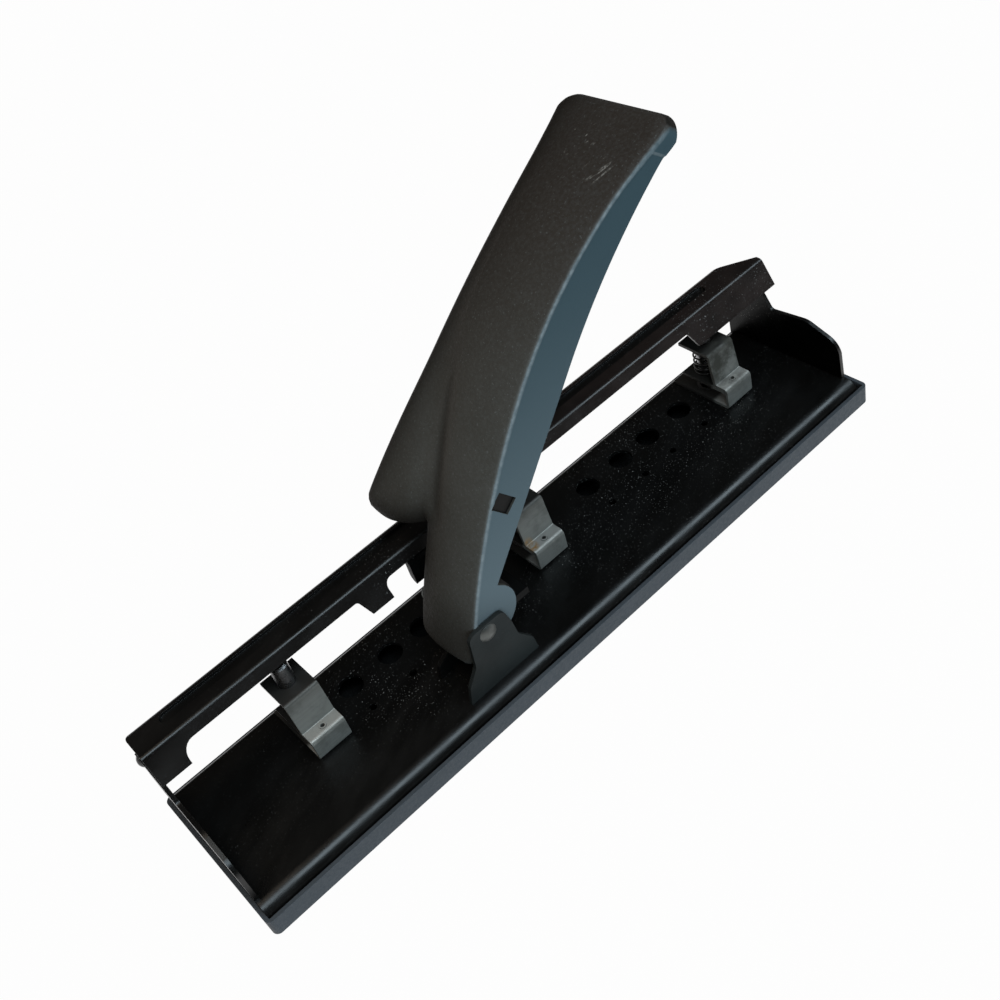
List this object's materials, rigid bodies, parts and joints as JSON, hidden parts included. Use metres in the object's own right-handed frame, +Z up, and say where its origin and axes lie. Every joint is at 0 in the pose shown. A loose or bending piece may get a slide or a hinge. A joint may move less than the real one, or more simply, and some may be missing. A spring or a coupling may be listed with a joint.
{
  "type": "heavy duty hole punch",
  "caption": "Long steel lever punch: a raised moulded handle presses pins in re-settable heads under a fixed top beam, over a pull-off chip pan.",
  "frame": {"origin": "on the table under the middle hole, at the underside of the rear rubber strip", "axes": "+X along the punch from the lever's end to the side stop, +Y to the paper side, +Z up"},
  "size_m": [0.3093, 0.0694, 0.1689],
  "materials": {
    "frame_paint": "gloss black enamel",
    "bracket_paint": "satin black",
    "plated_steel": "bare plated sheet, lightly stained",
    "tool_steel": "ground",
    "spring_steel": "drawn wire",
    "rivet_steel": "dull",
    "handle_plastic": "fine grain, worn edges",
    "pan_plastic": "fine grain",
    "foot_rubber": "matt"
  },
  "bodies": {
    "frame": {"base_frame": "frame_paint", "top_beam": "frame_paint", "beam_rivets": "frame_paint", "bracket_rivets": "rivet_steel", "pivot_pin": "rivet_steel", "pivot_spacer": "rivet_steel", "pivot_clip": "rivet_steel", "head_strap_left": "plated_steel", "guide_leaf_left": "plated_steel", "stop_pin_left": "plated_steel", "return_spring_left": "spring_steel", "head_strap_middle": "plated_steel", "guide_leaf_middle": "plated_steel", "stop_pin_middle": "plated_steel", "return_spring_middle": "spring_steel", "head_strap_right": "plated_steel", "guide_leaf_right": "plated_steel", "stop_pin_right": "plated_steel", "return_spring_right": "spring_steel", "lever_bracket": "bracket_paint", "punch_die_left": "tool_steel", "punch_die_middle": "tool_steel", "punch_die_right": "tool_steel"},
    "lever": {"handle_shell": "handle_plastic", "lever_cam": "bracket_paint"},
    "presser": {"presser_bar": "bracket_paint", "presser_arm": "bracket_paint", "arm_rivets": "rivet_steel"},
    "tray": {"chip_pan": "pan_plastic", "rubber_feet": "foot_rubber"},
    "punch_left": {"punch_pin_left": "tool_steel", "pin_clip_left": "plated_steel"},
    "punch_middle": {"punch_pin_middle": "tool_steel", "pin_clip_middle": "plated_steel"},
    "punch_right": {"punch_pin_right": "tool_steel", "pin_clip_right": "plated_steel"}
  },
  "joints": [
    {"name": "lever_swing", "type": "hinge", "parent": "frame", "child": "lever", "pos_m": [-0.04925, -0.029, 0.0387], "axis": [0, 1, 0], "range_deg": [0, 40], "stiffness_Nm_per_rad": 0.55, "springref_deg": -42.4},
    {"name": "presser_slide", "type": "slide", "parent": "frame", "child": "presser", "axis": [0, 0, -1], "range_m": [0, 0.0095]},
    {"name": "punch_left_slide", "type": "slide", "parent": "frame", "child": "punch_left", "axis": [0, 0, -1], "range_m": [0, 0.0095], "deforming": ["return_spring_left"]},
    {"name": "punch_middle_slide", "type": "slide", "parent": "frame", "child": "punch_middle", "axis": [0, 0, -1], "range_m": [0, 0.0095], "deforming": ["return_spring_middle"]},
    {"name": "punch_right_slide", "type": "slide", "parent": "frame", "child": "punch_right", "axis": [0, 0, -1], "range_m": [0, 0.0095], "deforming": ["return_spring_right"]},
    {"name": "tray_pull", "type": "slide", "parent": "frame", "child": "tray", "axis": [0, 0, -1], "range_m": [0, 0.014]}
  ],
  "couplings": [
    {"joint": "presser_slide", "follows": "lever_swing", "m_per_rad": 0.0136},
    {"joint": "punch_left_slide", "follows": "lever_swing", "m_per_rad": 0.0136},
    {"joint": "punch_middle_slide", "follows": "lever_swing", "m_per_rad": 0.0136},
    {"joint": "punch_right_slide", "follows": "lever_swing", "m_per_rad": 0.0136}
  ]
}
